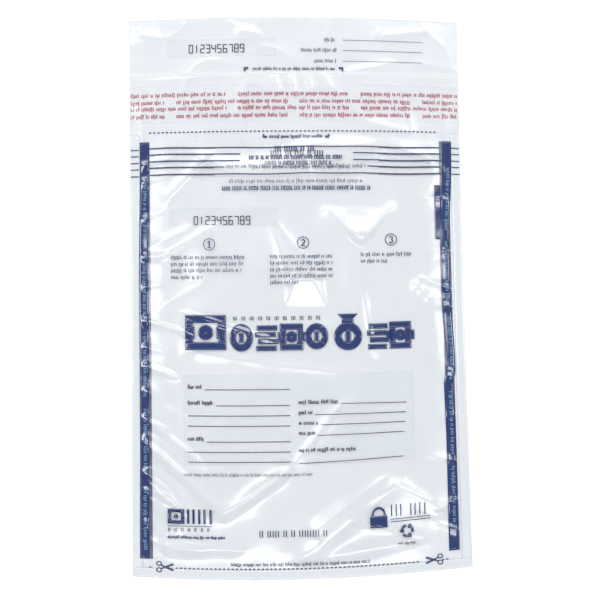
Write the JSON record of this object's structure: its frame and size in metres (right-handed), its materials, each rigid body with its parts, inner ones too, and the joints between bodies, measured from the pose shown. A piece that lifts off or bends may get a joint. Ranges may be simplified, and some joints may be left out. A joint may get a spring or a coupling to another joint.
{
  "type": "cash deposit bag",
  "caption": "Flat clear film deposit bag with welded sides, printed panels, a fold-over adhesive closure lip with release liner, and a tear-off receipt.",
  "frame": {"origin": "middle of the outline, at the level of the surface that the bag lies on", "axes": "+Y along the bag towards the tear-off receipt, +X to the right seen from the front, +Z out of the front film"},
  "size_m": [0.2286, 0.381, 0.0057],
  "materials": {
    "film": "clear blown film, glossy, faintly blue",
    "weld": "fused double film, glossy",
    "navy_ink": "printed ink under the gloss of the film",
    "grey_ink": "thin printed ink",
    "panel_ink": "translucent writable ink",
    "adhesive": "clear tacky pressure-sensitive coat",
    "liner": "silicone-coated release film"
  },
  "bodies": {
    "bag": {"back_panel": "film", "front_panel": "film", "left_side_weld": "weld", "right_side_weld": "weld", "bottom_weld": "weld", "front_band_left": "navy_ink", "front_band_right": "navy_ink", "rear_band_left": "navy_ink", "rear_band_right": "navy_ink", "front_warning_rules": "navy_ink", "rear_warning_rules": "navy_ink", "serial_panel": "panel_ink", "title_marks": "navy_ink", "writing_panel": "panel_ink", "writing_rules": "grey_ink"},
    "lip": {"closure_lip": "film", "adhesive_strip": "adhesive"},
    "liner": {"release_liner": "liner"},
    "receipt": {"tear_off_receipt": "film", "receipt_serial_panel": "panel_ink", "receipt_rules": "grey_ink"}
  },
  "joints": [
    {"name": "lip_fold", "type": "hinge", "parent": "bag", "child": "lip", "pos_m": [0, 0.112, -0.00005], "axis": [1, 0, 0], "range_deg": [-180, 120]},
    {"name": "liner_peel", "type": "slide", "parent": "lip", "child": "liner", "axis": [1, 0, 0], "range_m": [0, 0.235]},
    {"name": "receipt_tear", "type": "slide", "parent": "lip", "child": "receipt", "axis": [0, 1, 0], "range_m": [0, 0.06]}
  ]
}
